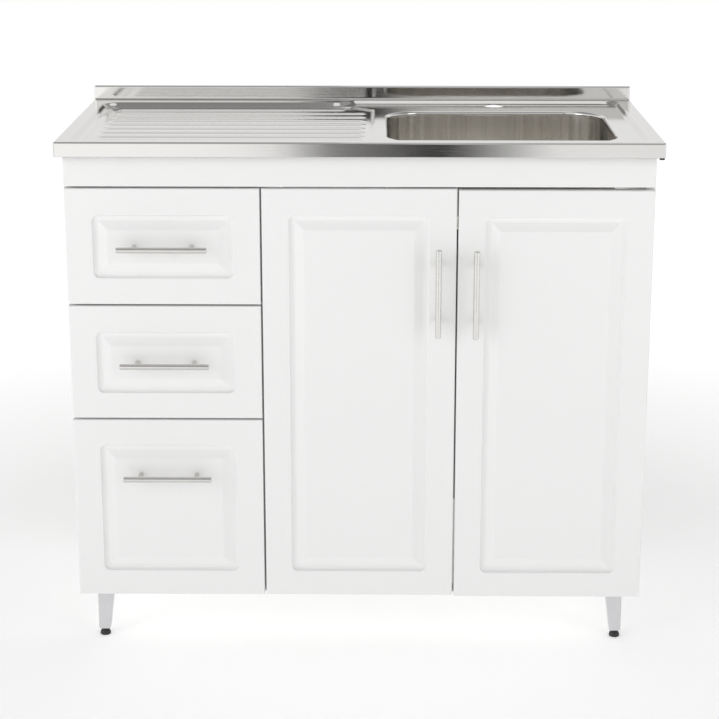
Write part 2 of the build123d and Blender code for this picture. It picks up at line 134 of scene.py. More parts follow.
flag_y = -3.0
graded_sheets = (
    ("left_card", 0.0, 1.0, 1.3, (
        (-1.40, 0.0), (-1.10, 1.0), (-0.85, 0.95), (-0.45, 0.6), (-0.25, 0.0))),
    ("lower_flag", 0.0, 1.0, 0.0, (
        (-0.28, 0.0), (-0.20, 0.4), (-0.12, 0.75), (0.05, 0.85),
        (0.22, 1.0), (0.32, 0.8), (0.44, 0.45), (0.56, 0.0))),
    ("upper_flag", 1.0, 1.75, 0.0, (
        (-0.26, 0.0), (-0.18, 0.8), (-0.10, 1.0), (0.04, 1.0), (0.12, 0.5), (0.22, 0.2), (0.50, 0.0))))
for name, low_edge, high_edge, glow, stops in graded_sheets:
    left, right = stops[0][0], stops[-1][0]
    cloth, cloth_shader, cloth_parts, cloth_span = stage_cloth(name, 0.02, glow)
    dial(cloth_span, {"From Min": left, "From Max": right})
    weave = cloth.node_tree.nodes.new("ShaderNodeValToRGB")
    grade(weave.color_ramp, [((x - left) / (right - left), level) for x, level in stops])
    cloth.node_tree.links.new(cloth_parts.outputs["X"], cloth_span.inputs["Value"])
    cloth.node_tree.links.new(cloth_span.outputs["Result"], weave.inputs["Fac"])
    cloth.node_tree.links.new(weave.outputs["Color"], cloth_shader.inputs["Alpha"])
    flag = stage_sheet(name, cloth, [
        (left, flag_y, low_edge), (right, flag_y, low_edge), (right, flag_y, high_edge), (left, flag_y, high_edge)])
    flag.visible_camera = False

# Painted shade: a dark sheet shows through the open back, from the front only, and neither lights
# nor shades the unit.
shade_sheet_y, shade_sheet_left, shade_sheet_right, shade_sheet_low, shade_sheet_high = 0.262, -0.15, 0.48, 0.10, 0.86
shade_sheet_cloth, shade_sheet_shader, shade_sheet_parts, painted_shade_span = stage_cloth("painted_shade_sheet", 0.04)
# Painted shade: the sheet's grey falls from 0.20 near the floor to 0.05 under the sink top.
dial(painted_shade_span, {"From Min": 0.15, "From Max": 0.75, "To Min": 0.20, "To Max": 0.05})
shade_sheet_side = shade_sheet_cloth.node_tree.nodes.new("ShaderNodeNewGeometry")
shade_sheet_front = shade_sheet_cloth.node_tree.nodes.new("ShaderNodeMath")
shade_sheet_front.operation = "SUBTRACT"
shade_sheet_front.inputs[0].default_value = 1.0
shade_sheet_cloth.node_tree.links.new(shade_sheet_parts.outputs["Z"], painted_shade_span.inputs["Value"])
shade_sheet_cloth.node_tree.links.new(painted_shade_span.outputs["Result"], shade_sheet_shader.inputs["Base Color"])
shade_sheet_cloth.node_tree.links.new(shade_sheet_side.outputs["Backfacing"], shade_sheet_front.inputs[1])
shade_sheet_cloth.node_tree.links.new(shade_sheet_front.outputs["Value"], shade_sheet_shader.inputs["Alpha"])
wall = stage_sheet("painted_shade_sheet", shade_sheet_cloth, [
    (shade_sheet_left, shade_sheet_y, shade_sheet_low), (shade_sheet_right, shade_sheet_y, shade_sheet_low),
    (shade_sheet_right, shade_sheet_y, shade_sheet_high), (shade_sheet_left, shade_sheet_y, shade_sheet_high)])
for rays in ("diffuse", "glossy", "transmission", "volume_scatter", "shadow"):
    setattr(wall, f"visible_{rays}", False)


def soft_box(name, place, target, width, height, watts):
    """Rectangular light that faces a point on the unit."""
    light = bpy.data.lights.new(name, "AREA")
    light.shape = "RECTANGLE"
    light.size = width
    light.size_y = height
    light.energy = watts
    lamp = bpy.data.objects.new(name, light)
    lamp.location = place
    lamp.rotation_euler = (Vector(target) - Vector(place)).to_track_quat("-Z", "Y").to_euler()
    lamp.visible_camera = False
    scene.collection.objects.link(lamp)


soft_box("left_light", (-2.8, -2.6, 1.6), (0.0, 0.0, 0.6), 1.6, 2.4, 19)
soft_box("right_light", (2.8, -2.6, 1.6), (0.0, 0.0, 0.6), 1.6, 2.4, 19)
soft_box("top_light", (0.0, -0.8, 3.2), (0.0, 0.0, 0.6), 2.4, 1.2, 3)
soft_box("ceiling_light", (0.475, 0.75, 3.2), (0.475, 0.75, 0.0), 1.1, 1.7, 4.3)

back_levels = ((0.0, 0.5), (0.46, 0.7), (0.52, 0.88), (0.66, 0.95), (0.80, 0.45), (0.90, 0.32), (1.0, 0.30))
front_levels = ((0.0, 0.5), (0.46, 0.7), (0.52, 1.05), (0.62, 0.90), (0.76, 0.42), (0.90, 0.32), (1.0, 0.30))
front_left, front_right = 1.35, 0.75


def studio_air():
    """World that is white to the camera, and darkens towards the zenith and in front of the unit."""
    world = bpy.data.worlds.new("studio_air")
    world.use_nodes = True
    tree = world.node_tree
    new = tree.nodes.new
    link = tree.links.new
    way = new("ShaderNodeTexCoord")
    parts = new("ShaderNodeSeparateXYZ")
    link(way.outputs["Generated"], parts.inputs["Vector"])
    height = new("ShaderNodeMapRange")
    dial(height, {"From Min": -1.0})
    link(parts.outputs["Z"], height.inputs["Value"])
    levels = []
    for stops in (back_levels, front_levels):
        ramp = new("ShaderNodeValToRGB")
        grade(ramp.color_ramp, stops)
        link(height.outputs["Result"], ramp.inputs["Fac"])
        levels.append(ramp.outputs["Color"])
    sideways = new("ShaderNodeMapRange")
    dial(sideways, {"From Min": -0.25, "From Max": 0.25, "To Min": front_left, "To Max": front_right})
    link(parts.outputs["X"], sideways.inputs["Value"])
    front = new("ShaderNodeVectorMath")
    front.operation = "SCALE"
    link(levels[1], front.inputs["Vector"])
    link(sideways.outputs["Result"], front.inputs["Scale"])
    towards_back = new("ShaderNodeMapRange")
    dial(towards_back, {"From Min": -0.15, "From Max": 0.15})
    link(parts.outputs["Y"], towards_back.inputs["Value"])
    around = new("ShaderNodeMix")
    around.data_type = "RGBA"
    link(towards_back.outputs["Result"], around.inputs["Factor"])
    link(front.outputs["Vector"], around.inputs["A"])
    link(levels[0], around.inputs["B"])
    seen = new("ShaderNodeLightPath")
    shown = new("ShaderNodeMix")
    shown.data_type = "RGBA"
    dial(shown, {"B": (1, 1, 1, 1)})
    link(seen.outputs["Is Camera Ray"], shown.inputs["Factor"])
    link(around.outputs["Result"], shown.inputs["A"])
    link(shown.outputs["Result"], tree.nodes["Background"].inputs["Color"])
    return world


scene.world = studio_air()

# --- Sink top ----------------------------------------------------------------------------------
# One sheet of stainless steel, pressed to a recess with a ribbed drainer, folded down to a lip
# at the front and sides and up to an upstand at the back. The bowl is welded to its collar.


def add_mottle():
    """Shader group of slow and fine unevenness; every finish of the unit uses it with its own scales."""
    group = bpy.data.node_groups.new("finish_unevenness", "ShaderNodeTree")
    for name, value in (("Broad Scale", 6.0), ("Fine Scale", 400.0), ("Stretch X", 1.0), ("Stretch Z", 1.0)):
        group.interface.new_socket(name, in_out="INPUT", socket_type="NodeSocketFloat").default_value = value
    for name in ("Broad", "Fine"):
        group.interface.new_socket(name, in_out="OUTPUT", socket_type="NodeSocketFloat")
    new = group.nodes.new
    link = group.links.new
    given = new("NodeGroupInput")
    out = new("NodeGroupOutput")
    place = new("ShaderNodeTexCoord")
    spread = new("ShaderNodeCombineXYZ")
    dial(spread, {"Y": 1.0})
    link(given.outputs["Stretch X"], spread.inputs["X"])
    link(given.outputs["Stretch Z"], spread.inputs["Z"])
    scaled = new("ShaderNodeVectorMath")
    scaled.operation = "MULTIPLY"
    link(place.outputs["Object"], scaled.inputs[0])
    link(spread.outputs["Vector"], scaled.inputs[1])
    broad = new("ShaderNodeTexNoise")
    dial(broad, {"Detail": 3.0})
    link(place.outputs["Object"], broad.inputs["Vector"])
    link(given.outputs["Broad Scale"], broad.inputs["Scale"])
    fine = new("ShaderNodeTexNoise")
    dial(fine, {"Detail": 2.0})
    link(scaled.outputs["Vector"], fine.inputs["Vector"])
    link(given.outputs["Fine Scale"], fine.inputs["Scale"])
    link(broad.outputs["Fac"], out.inputs["Broad"])
    link(fine.outputs["Fac"], out.inputs["Fine"])
    return group


unevenness = add_mottle()


def finish(name, slot, colour, rough, metallic=0.0, broad=6.0, fine=400.0, stretch=1.0,
           upright=1.0, tone=0.03, bump=0.1, bump_depth=0.0002):
    """Principled material whose colour, roughness and surface vary a little over the piece."""
    material = bpy.data.materials.new(name)
    material.use_nodes = True
    tree = material.node_tree
    shader = tree.nodes["Principled BSDF"]
    dial(shader, {"Metallic": metallic})
    uneven = tree.nodes.new("ShaderNodeGroup")
    uneven.node_tree = unevenness
    dial(uneven, {"Broad Scale": broad, "Fine Scale": fine, "Stretch X": stretch, "Stretch Z": upright})
    shade = tree.nodes.new("ShaderNodeMix")
    shade.data_type = "RGBA"
    dial(shade, {
        "A": (*[c * (1 - tone) for c in colour], 1),
        "B": (*[min(1.0, c * (1 + tone)) for c in colour], 1)})
    tree.links.new(uneven.outputs["Broad"], shade.inputs["Factor"])
    tree.links.new(shade.outputs["Result"], shader.inputs["Base Color"])
    gloss = tree.nodes.new("ShaderNodeMapRange")
    dial(gloss, {"From Min": 0.3, "From Max": 0.7, "To Min": rough[0], "To Max": rough[1]})
    tree.links.new(uneven.outputs["Fine"], gloss.inputs["Value"])
    tree.links.new(gloss.outputs["Result"], shader.inputs["Roughness"])
    relief = tree.nodes.new("ShaderNodeBump")
    dial(relief, {"Strength": bump, "Distance": bump_depth})
    tree.links.new(uneven.outputs["Fine"], relief.inputs["Height"])
    tree.links.new(relief.outputs["Normal"], shader.inputs["Normal"])
    material["slot"] = slot
    return material


pressed_steel = finish(
    "pressed_steel", "pressed_steel", (0.68, 0.67, 0.655), (0.07, 0.11), metallic=1.0,
    broad=5.0, fine=900.0, stretch=0.05, tone=0.04, bump=0.12, bump_depth=0.00008)


def corner_loop(corners, inset, steps=8):
    """Rounded outline of (x, y, radius) corners, moved inwards; each corner gives the same number of points."""
    count = len(corners)
    lines = []
    for i in range(count):
        ax, ay, _ = corners[i]
        bx, by, _ = corners[(i + 1) % count]
        run = hypot(bx - ax, by - ay)
        dx, dy = (bx - ax) / run, (by - ay) / run
        lines.append((ax - dy * inset, ay + dx * inset, dx, dy))
    points = []
    for i in range(count):
        px, py, pdx, pdy = lines[i - 1]
        qx, qy, qdx, qdy = lines[i]
        cross = pdx * qdy - pdy * qdx
        t = ((qx - px) * qdy - (qy - py) * qdx) / cross
        cx, cy = px + pdx * t, py + pdy * t
        radius = max(corners[i][2] - inset if cross > 0 else corners[i][2] + inset, 0.3)
        turn = atan2(cross, pdx * qdx + pdy * qdy)
        back = radius * abs(sin(turn / 2) / cos(turn / 2))
        side = 1 if turn > 0 else -1
        ox, oy = cx - pdx * back - pdy * radius * side, cy - pdy * back + pdx * radius * side
        start = atan2(cy - pdy * back - oy, cx - pdx * back - ox)
        for k in range(steps + 1):
            a = start + turn * k / steps
            points.append((ox + radius * cos(a), oy + radius * sin(a)))
    return points


def s_curve(t):
    """Soft step from 0 to 1, level at both ends."""
    return t * t * (3 - 2 * t)


# Sizes of the sheet in millimetres, as in the solids, except the softer ribs.
deck_right, deck_front, deck_back = 500.0, -244.0, 256.0
worktop, upstand_top, lip_bottom = 900.0, 925.0, 875.0
upstand_front, return_bottom = 244.0, 903.0
fold_radius, hem_width, hem_radius, sheet_thickness = 3.2, 8.0, 1.4, 1.0
recess_depth, recess_slope = 6.0, 11.0
pan_depth = 2.5
recess_floor = worktop - recess_depth
bowl_x, bowl_y, bowl_width, bowl_length, bowl_corner = 239.0, -29.0, 384.0, 340.0, 70.0
bowl_arc = 16
bowl_edge, collar_bottom = 5.0, 886.0
tap_x, tap_y, tap_radius = 244.0, 206.0, 17.5
recess_corners = [
    (-478, -219, 20), (478, -219, 20), (478, 238, 35), (-15, 238, 16), (-45, 206, 16), (-478, 206, 35)]
pan_corners = [(-463, -204, 18), (27, -204, 18), (27, 153, 18), (-11, 191, 18), (-463, 191, 18)]
pan_floor_corners = [(-452, -198, 12), (15, -198, 12), (15, 154, 12), (-18, 187, 12), (-452, 187, 12)]
rib_left, rib_right, rib_width, rib_slope, rib_height = -449.0, 12.0, 33.0, 15.0, 1.6
rib_rows = [-178.5 + 43.0 * i for i in range(9)]
corner_rib_cut = 36.0


def bowl_corners(grow=0.0):
    """Corners of the bowl's inner wall."""
    x, y = bowl_width / 2 + grow, bowl_length / 2 + grow
    r = bowl_corner + grow
    return [(bowl_x + u * x, bowl_y + v * y, r) for u, v in ((-1, -1), (1, -1), (1, 1), (-1, 1))]


def circle(x, y, radius, steps=48):
    """Points round a centre."""
    return [(x + radius * cos(2 * pi * k / steps), y + radius * sin(2 * pi * k / steps)) for k in range(steps)]


def ring(mesh, points, z):
    """Closed ring of vertices at one height, from millimetres."""
    return [mesh.verts.new((x * 0.001, y * 0.001, z * 0.001)) for x, y in points]


def bridge(mesh, outer, inner):
    """Band of faces between two rings with the same number of points."""
    for i in range(len(outer)):
        k = (i + 1) % len(outer)
        mesh.faces.new((outer[i], outer[k], inner[k], inner[i]))


def sheet_shell():
    """Folded outside of the sink top: lip, rims and upstand, with its level top left as one face."""
    shell = bmesh.new()
    profile = [
        (deck_front, lip_bottom), (deck_front, worktop), (upstand_front, worktop), (upstand_front, upstand_top),
        (deck_back, upstand_top), (deck_back, return_bottom), (deck_back, lip_bottom)]
    ends = []
    for x in (-deck_right, deck_right):
        ends.append([shell.verts.new((x * 0.001, y * 0.001, z * 0.001)) for y, z in profile])
    for i in range(len(profile) - 2):
        shell.faces.new((ends[0][i], ends[1][i], ends[1][i + 1], ends[0][i + 1]))
    shell.faces.new(ends[0][::-1])
    shell.faces.new(ends[1])
    bmesh.ops.recalc_face_normals(shell, faces=shell.faces)
    folds = [edge for edge in shell.edges if len(edge.link_faces) == 2]
    bmesh.ops.bevel(
        shell, geom=folds, offset=fold_radius * 0.001, segments=5, profile=0.5, affect="EDGES", clamp_overlap=True)
    return shell


def add_top(shell):
    """Pressed surface of the sink top, triangulated between its contour lines and joined to the shell."""
    level = [f for f in shell.faces if f.normal.z > 0.99 and abs(f.calc_center_median().z - worktop * 0.001) < 1e-5]
    flat = max(level, key=lambda f: f.calc_area())
    outline = [v.co.copy() for v in flat.verts]
    shell.faces.remove(flat)
    points, heights, loops = [], [], []

    def contour(xy, z):
        first = len(points)
        points.extend(xy)
        heights.extend([z] * len(xy))
        loops.append(list(range(first, len(points))))

    contour([(v.x * 1000, v.y * 1000) for v in outline], worktop)
    for k in range(11):
        t = k / 10
        contour(corner_loop(recess_corners, recess_slope * t, 10), worktop - recess_depth * s_curve(t))
    for k in range(7):
        t = k / 6
        edge = [[a + (b - a) * t for a, b in zip(*pair)] for pair in zip(pan_corners, pan_floor_corners)]
        contour(corner_loop(edge, 0, 7), recess_floor - pan_depth * s_curve(t))
    for y in rib_rows:
        half = rib_width / 2
        end = rib_right if y < rib_rows[-1] else rib_right - corner_rib_cut
        slot = [(x, y + v * half, half) for x, v in ((rib_left, -1), (end, -1), (end, 1), (rib_left, 1))]
        for k in range(11):
            t = k / 10
            z = recess_floor - pan_depth + rib_height * s_curve(t)
            contour(corner_loop(slot, rib_slope * t, 8), z)
    for k in range(6):
        a = pi / 2 * k / 6
        z = recess_floor - bowl_edge * (1 - cos(a))
        contour(corner_loop(bowl_corners(bowl_edge * (1 - sin(a))), 0, bowl_arc), z)
    contour(circle(tap_x, tap_y, tap_radius), recess_floor)
    edges = [(loop[i], loop[(i + 1) % len(loop)]) for loop in loops for i in range(len(loop))]
    placed, _, faces, origins, _, _ = delaunay_2d_cdt([Vector(p) for p in points], edges, [], 0, 1e-5)
    border = [points[i] for i in loops[0]]
    bowl_hole = [points[i] for i in loops[-2]]

    def inside(p, polygon):
        hit = False
        for i in range(len(polygon)):
            a, b = polygon[i - 1], polygon[i]
            if (a[1] > p[1]) != (b[1] > p[1]) and p[0] < (b[0] - a[0]) * (p[1] - a[1]) / (b[1] - a[1]) + a[0]:
                hit = not hit
        return hit

    made = []
    place_of = {}
    for p, source in zip(placed, origins):
        place_of.update({i: len(made) for i in source})
        made.append(shell.verts.new((p[0] * 0.001, p[1] * 0.001, heights[source[0]] * 0.001)))
    for face in faces:
        centre = sum((placed[i] for i in face), Vector((0, 0))) / len(face)
        cut = hypot(centre[0] - tap_x, centre[1] - tap_y) < tap_radius or inside(centre, bowl_hole)
        if inside(centre, border) and not cut:
            shell.faces.new([made[i] for i in face])
    lower = [made[place_of[i]] for i in loops[-2]]
    for z in (recess_floor - bowl_edge, collar_bottom):
        upper, lower = lower, ring(shell, corner_loop(bowl_corners(), 0, bowl_arc), z)
        bridge(shell, upper, lower)
    bmesh.ops.remove_doubles(shell, verts=shell.verts, dist=1e-6)


def add_hem(shell):
    """Edge of the lip turned inwards along its front and sides."""
    low = [
        e for e in shell.edges if e.is_boundary and min(v.co.y for v in e.verts) < 0.2
        and all(abs(v.co.z - lip_bottom * 0.001) < 1e-5 for v in e.verts)]
    made = bmesh.ops.extrude_edge_only(shell, edges=low)
    for v in (g for g in made["geom"] if isinstance(g, bmesh.types.BMVert)):
        if v.co.x < -0.48:
            v.co.x += hem_width * 0.001
        if v.co.x > 0.48:
            v.co.x -= hem_width * 0.001
        if v.co.y < -0.23:
            v.co.y += hem_width * 0.001
    bmesh.ops.bevel(
        shell, geom=low, offset=hem_radius * 0.001, segments=3, profile=0.5, affect="EDGES", clamp_overlap=True)


def wrap(name, mesh_data, material, body, replaced=(), solid=None, bevel=None):
    """Puts a finished bmesh in the scene as a smooth piece, sharp at its hard edges, that rides on its body."""
    for edge in mesh_data.edges:
        if not bevel and len(edge.link_faces) == 2 and edge.calc_face_angle() > radians(43):
            edge.smooth = False
    mesh = bpy.data.meshes.new(name)
    mesh_data.to_mesh(mesh)
    mesh_data.free()
    mesh.materials.append(material)
    for polygon in mesh.polygons:
        polygon.use_smooth = True
    piece = bpy.data.objects.new(name, mesh)
    scene.collection.objects.link(piece)
    if solid:
        sheet = piece.modifiers.new("sheet", "SOLIDIFY")
        sheet.thickness = solid
        sheet.offset = -1
        sheet.use_even_offset = True
    if bevel:
        edge = piece.modifiers.new("edge", "BEVEL")
        edge.width = bevel
        edge.segments = 3
        edge.limit_method = "ANGLE"
        edge.angle_limit = radians(35)
    shading = piece.modifiers.new("shading", "WEIGHTED_NORMAL")
    shading.keep_sharp = True
    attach(piece, body)
    if replaced:
        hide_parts(*replaced)
    return piece


deck = sheet_shell()
add_top(deck)
add_hem(deck)
bmesh.ops.recalc_face_normals(deck, faces=deck.faces)
wrap("pressed_sink_top", deck, pressed_steel, "root", ["sink_deck"], solid=sheet_thickness * 0.001)

# --- Bowl --------------------------------------------------------------------------------------
# Deep drawn from stainless steel, with rounded corners and floor, and a sunk seat that takes the
# waste fitting. Its rim is seam-welded to the collar of the sink top.
bowl_floor, seat_floor = 744.0, 740.0
floor_radius, seat_radius, waste_radius = 26.0, 58.0, 45.0


def wall_loop(inset, parts=14):
    """Outline of the bowl's inner wall, its straight sides divided because its floor meets a round seat."""
    arcs = corner_loop(bowl_corners(), inset, bowl_arc)
    points = []
    for i, (x, y) in enumerate(arcs):
        points.append((x, y))
        if i % (bowl_arc + 1) == bowl_arc:
            far_x, far_y = arcs[(i + 1) % len(arcs)]
            points += [(x + (far_x - x) * k / parts, y + (far_y - y) * k / parts) for k in range(1, parts)]
    return points


def bowl_shell():
    """Inner surface of the bowl, from its rim to the edge of the waste hole."""
    shell = bmesh.new()
    levels = [(0.0, z) for z in (collar_bottom, 850.0, 810.0, bowl_floor + floor_radius)]
    for k in range(1, 10):
        a = pi / 2 * k / 9
        levels.append((floor_radius * (1 - cos(a)), bowl_floor + floor_radius * (1 - sin(a))))
    rings = [ring(shell, wall_loop(inset), z) for inset, z in levels]
    outline = [(v.co.x * 1000 - bowl_x, v.co.y * 1000 - bowl_y) for v in rings[-1]]
    for share in (0.3, 0.6, 0.85):
        points = []
        for x, y in outline:
            scale = 1 + ((seat_radius + 3) / hypot(x, y) - 1) * share
            points.append((bowl_x + x * scale, bowl_y + y * scale))
        rings.append(ring(shell, points, bowl_floor))
    seat = [(seat_radius + 3, bowl_floor), (seat_radius + 1.2, bowl_floor - 0.6), (seat_radius, bowl_floor - 2.0)]
    seat += [(seat_radius - 0.8, bowl_floor - 3.4), (seat_radius - 2.5, seat_floor)]
    seat += [(waste_radius + 1.5, seat_floor), (waste_radius, seat_floor - 0.4)]
    for radius, z in seat:
        points = [(bowl_x + x / hypot(x, y) * radius, bowl_y + y / hypot(x, y) * radius) for x, y in outline]
        rings.append(ring(shell, points, z))
    for outer, inner in zip(rings, rings[1:]):
        bridge(shell, outer, inner)
    bmesh.ops.recalc_face_normals(shell, faces=shell.faces)
    top = max(shell.faces, key=lambda f: f.calc_center_median().z)
    outwards = top.calc_center_median() - Vector((bowl_x, bowl_y, 0)) * 0.001
    if outwards.xy.dot(top.normal.xy) > 0:
        bmesh.ops.reverse_faces(shell, faces=shell.faces)
    return shell


# The bowl's steel is lighter than the sink top's: partly its own drawn finish, partly painted light that brightens
# the shaded inside of the bowl.
drawn_steel = finish(
    "drawn_steel", "pressed_steel", (0.80, 0.78, 0.74), (0.15, 0.23), metallic=1.0,
    broad=6.0, fine=190.0, upright=0.02, tone=0.03, bump=0.07, bump_depth=0.00005)
wrap("drawn_bowl", bowl_shell(), drawn_steel, "root", ["sink_bowl"], solid=sheet_thickness * 0.001)

# --- Fronts ------------------------------------------------------------------------------------
# MDF boards 16 mm thick, routed with a cove and a bevelled field, and wrapped in satin white
# foil at the face and edges. Drawer fronts are screwed to their boxes, doors hang on hinges.
front_foil = finish(
    "front_foil", "front_foil", (0.87, 0.87, 0.865), (0.34, 0.42), broad=3.0, fine=1300.0,
    tone=0.006, bump=0.05, bump_depth=0.00012)
face_y, front_back = -224.0, -208.0
edge_radius, cove_inset, cove_radius = 2.0, 45.0, 5.5
cup_inset, cup_height, cup_radius, cup_depth = 20.5, 100.0, 17.6, 13.0


def front_rings(routed):
    """Inset, depth and corner radius of each ring, from the back edge over the face to the field."""
    rings = [(0.4, front_back - face_y, 0.8), (0.0, front_back - face_y - 0.4, 1.0), (0.0, edge_radius, 1.0)]
    for a in (18, 36, 54, 72, 90):
        rings.append((edge_radius * (1 - cos(radians(a))), edge_radius * (1 - sin(radians(a))), 1.2))
    if not routed:
        return rings
    rings += [(cove_inset - 0.8, 0.0, 10.8), (cove_inset - 0.3, 0.12, 10.4), (cove_inset, 0.5, 10.0)]
    for a in (15, 30, 45, 60, 75, 90):
        across, down = cove_radius * (1 - cos(radians(a))), cove_radius * sin(radians(a))
        rings.append((cove_inset + across, down, 10.0 - across))
    rings += [(53.6, 5.5, 3.0), (54.5, 5.4, 2.5), (55.4, 5.15, 2.4)]
    rings += [(68.4, 0.55, 1.6), (69.6, 0.18, 1.6), (70.8, 0.0, 1.6)]
    return rings


def front_board(x0, x1, z0, z1, routed=True, bores=()):
    """Front in millimetres; bores are (x, z, radius, depth) holes in its back."""
    board = bmesh.new()
    loops = []
    for inset, depth, radius in front_rings(routed):
        corners = [(x, z, radius + inset) for x, z in ((x0, z0), (x1, z0), (x1, z1), (x0, z1))]
        flat = corner_loop(corners, inset, 5)
        loops.append([board.verts.new((x * 0.001, (face_y + depth) * 0.001, z * 0.001)) for x, z in flat])
    for outer, inner in zip(loops, loops[1:]):
        bridge(board, outer, inner)
    board.faces.new(loops[-1])
    outline = [(v.co.x * 1000, v.co.z * 1000) for v in loops[0]]
    if not bores:
        board.faces.new(loops[0][::-1])
    else:
        points = list(outline)
        edges = [(i, (i + 1) % len(outline)) for i in range(len(outline))]
        rims = []
        for x, z, radius, _ in bores:
            rim = circle(x, z, radius)
            rims.append(range(len(points), len(points) + len(rim)))
            edges += [(rims[-1][k - 1], rims[-1][k]) for k in range(len(rim))]
            points += rim
        placed, _, faces, origins, _, _ = delaunay_2d_cdt([Vector(p) for p in points], edges, [], 0, 1e-5)
        back = []
        place_of = {}
        for (x, z), source in zip(placed, origins):
            place_of.update({i: len(back) for i in source})
            if source[0] < len(outline):
                back.append(loops[0][source[0]])
            else:
                back.append(board.verts.new((x * 0.001, front_back * 0.001, z * 0.001)))
        for face in faces:
            centre = sum((placed[i] for i in face), Vector((0, 0))) / len(face)
            if all(hypot(centre[0] - x, centre[1] - z) > radius * 0.997 for x, z, radius, _ in bores):
                board.faces.new([back[i] for i in face])
        for (_, _, _, depth), rim in zip(bores, rims):
            mouth = [back[place_of[i]] for i in rim]
            deep = [board.verts.new((v.co.x, (front_back - depth) * 0.001, v.co.z)) for v in mouth]
            bridge(board, mouth, deep)
            board.faces.new(deep)
    bmesh.ops.recalc_face_normals(board, faces=board.faces)
    return board


for drawer in ("top", "middle", "bottom"):
    low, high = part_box(f"{drawer}_drawer_front")
    board = front_board(low.x * 1000, high.x * 1000, low.z * 1000, high.z * 1000)
    wrap(f"{drawer}_drawer_foil_front", board, front_foil, f"{drawer}_drawer", [f"{drawer}_drawer_front"])

for side in ("left", "right"):
    low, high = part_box(f"{side}_door_panel")
    cup_x = low.x * 1000 + cup_inset if side == "left" else high.x * 1000 - cup_inset
    cups = [(cup_x, z, cup_radius, cup_depth) for z in (low.z * 1000 + cup_height, high.z * 1000 - cup_height)]
    board = front_board(low.x * 1000, high.x * 1000, low.z * 1000, high.z * 1000, bores=cups)
    wrap(f"{side}_door_foil_front", board, front_foil, f"{side}_door", [f"{side}_door_panel"])

low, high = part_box("front_rail")
rail = front_board(low.x * 1000, high.x * 1000, low.z * 1000, high.z * 1000, routed=False)
for v in rail.verts:
    if v.co.y > -0.21:
        v.co.y += high.y - front_back * 0.001
wrap("foil_front_rail", rail, front_foil, "root", ["front_rail"])

# --- Handles -----------------------------------------------------------------------------------
# Bar handles of satin stainless steel: a 10 mm bar across two posts, each held by a screw from
# the back of its front. The bar's ends are turned with a small chamfer.
handle_steel = finish(
    "handle_steel", "handle_steel", (0.64, 0.63, 0.61), (0.18, 0.26), metallic=1.0,
    broad=20.0, fine=1500.0, stretch=1.0, tone=0.05, bump=0.08, bump_depth=0.00005)


def turned(mesh, start, direction, profile, steps=32):
    """Adds a turned piece to the mesh; profile is (distance along, radius) in millimetres."""
    along = Vector(direction).normalized()
    across = along.orthogonal().normalized()
    third = along.cross(across)
    rings = []
    for distance, radius in profile:
        centre = Vector(start) + along * distance
        if radius <= 0:
            rings.append([mesh.verts.new(centre * 0.001)])
            continue
        loop = []
        for k in range(steps):
            a = 2 * pi * k / steps
            loop.append(mesh.verts.new((centre + (across * cos(a) + third * sin(a)) * radius) * 0.001))
        rings.append(loop)
    for first, second in zip(rings, rings[1:]):
        if len(first) == 1 or len(second) == 1:
            tip, loop = (first, second) if len(first) == 1 else (second, first)
            for k in range(steps):
                mesh.faces.new((tip[0], loop[k], loop[(k + 1) % steps]))
        else:
            bridge(mesh, first, second)


bar_length, bar_stand_off, post_reach = 150.0, 27.0, 48.0
bar_end = [(0, 0), (0, 3.9), (0.35, 4.45), (0.9, 4.85), (1.4, 5.0)]
bar_profile = bar_end + [(60, 5.0), (90, 5.0)] + [(bar_length - d, r) for d, r in reversed(bar_end)]
post_profile = [(0, 0), (0, 3.9), (0.25, 4.0), (20.0, 4.0), (21.4, 3.9), (24.5, 3.9), (24.5, 0)]


def bar_handle(x, z, along):
    """Bar with chamfered ends on two shouldered posts."""
    handle = bmesh.new()
    along = Vector(along)
    middle = Vector((x, face_y - bar_stand_off, z))
    turned(handle, middle - along * (bar_length / 2), along, bar_profile, 40)
    for sign in (-1, 1):
        foot = middle + along * (sign * post_reach) + Vector((0, bar_stand_off, 0))
        turned(handle, foot, (0, -1, 0), post_profile)
    bmesh.ops.recalc_face_normals(handle, faces=handle.faces)
    return handle


handle_places = []
for front in ("top_drawer", "middle_drawer", "bottom_drawer", "left_door", "right_door"):
    low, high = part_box(f"{front}_handle")
    x, z = (low.x + high.x) * 500, (low.z + high.z) * 500
    along = (1, 0, 0) if front.endswith("drawer") else (0, 0, 1)
    wrap(f"{front}_bar_handle", bar_handle(x, z, along), handle_steel, front, [f"{front}_handle"])
    handle_places.append((front, [(x + along[0] * d, z + along[2] * d) for d in (-post_reach, post_reach)]))

# --- Handle screws -----------------------------------------------------------------------------
# M4 pan-head screws of zinc-plated steel, driven from the back of each front into the handle's
# posts. The same cross-recessed head, in other sizes, serves the other fastenings of the unit.
zinc_plate = finish(
    "zinc_plate", "runner_steel", (0.62, 0.62, 0.60), (0.22, 0.34), metallic=1.0,
    broad=60.0, fine=2500.0, tone=0.08, bump=0.06, bump_depth=0.00004)


